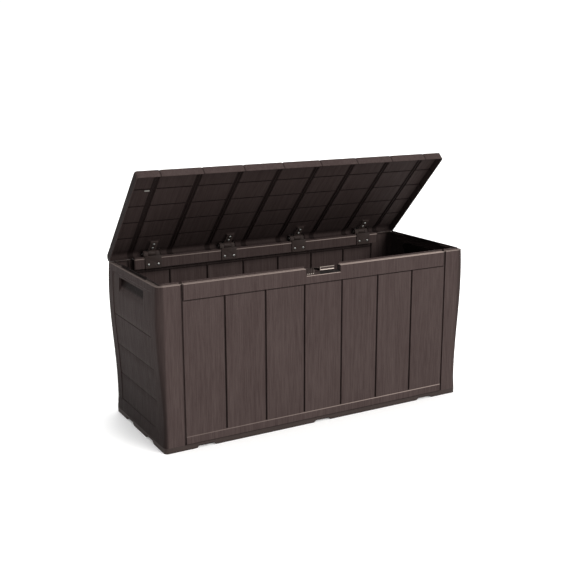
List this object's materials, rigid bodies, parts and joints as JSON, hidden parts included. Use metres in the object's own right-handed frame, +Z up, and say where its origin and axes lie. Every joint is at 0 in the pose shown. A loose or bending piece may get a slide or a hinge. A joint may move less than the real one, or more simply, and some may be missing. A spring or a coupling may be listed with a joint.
{
  "type": "deck storage box",
  "caption": "Long resin storage box with wood-look planks, an open hinged lid, a lock plate in the front rim and a finger recess in each end.",
  "frame": {"origin": "on the ground under the middle of the body", "axes": "+Z up, -Y the front with the lock plate, +X to the right of someone facing the front"},
  "size_m": [1.1816, 0.45, 0.8733],
  "materials": {
    "brown_resin": "matt espresso-brown resin with a fine embossed wood grain",
    "dark_resin": "plain matt darker brown resin",
    "pale_clip": "plain pale grey resin",
    "steel": "zinc-plated"
  },
  "bodies": {
    "box": {"floor_tray": "dark_resin", "front_panel": "brown_resin", "back_panel": "brown_resin", "left_end_panel": "brown_resin", "right_end_panel": "brown_resin", "lock_plate": "dark_resin", "hinge_bracket_1": "dark_resin", "hinge_bracket_2": "dark_resin", "hinge_bracket_3": "dark_resin", "hinge_bracket_4": "dark_resin", "hinge_pin_1": "steel", "hinge_pin_2": "steel", "hinge_pin_3": "steel", "hinge_pin_4": "steel", "bracket_screw_1_left": "steel", "bracket_screw_1_right": "steel", "bracket_screw_2_left": "steel", "bracket_screw_2_right": "steel", "bracket_screw_3_left": "steel", "bracket_screw_3_right": "steel", "bracket_screw_4_left": "steel", "bracket_screw_4_right": "steel"},
    "lid": {"lid": "brown_resin", "lid_clip": "pale_clip", "hinge_leaf_1": "dark_resin", "hinge_leaf_2": "dark_resin", "hinge_leaf_3": "dark_resin", "hinge_leaf_4": "dark_resin", "leaf_screw_1_front": "steel", "leaf_screw_1_back": "steel", "leaf_screw_2_front": "steel", "leaf_screw_2_back": "steel", "leaf_screw_3_front": "steel", "leaf_screw_3_back": "steel", "leaf_screw_4_front": "steel", "leaf_screw_4_back": "steel"}
  },
  "joints": [
    {"name": "lid_hinge", "type": "hinge", "parent": "box", "child": "lid", "pos_m": [0, 0.21, 0.5545], "axis": [-1, 0, 0], "range_deg": [-46.3, 53.7]}
  ]
}
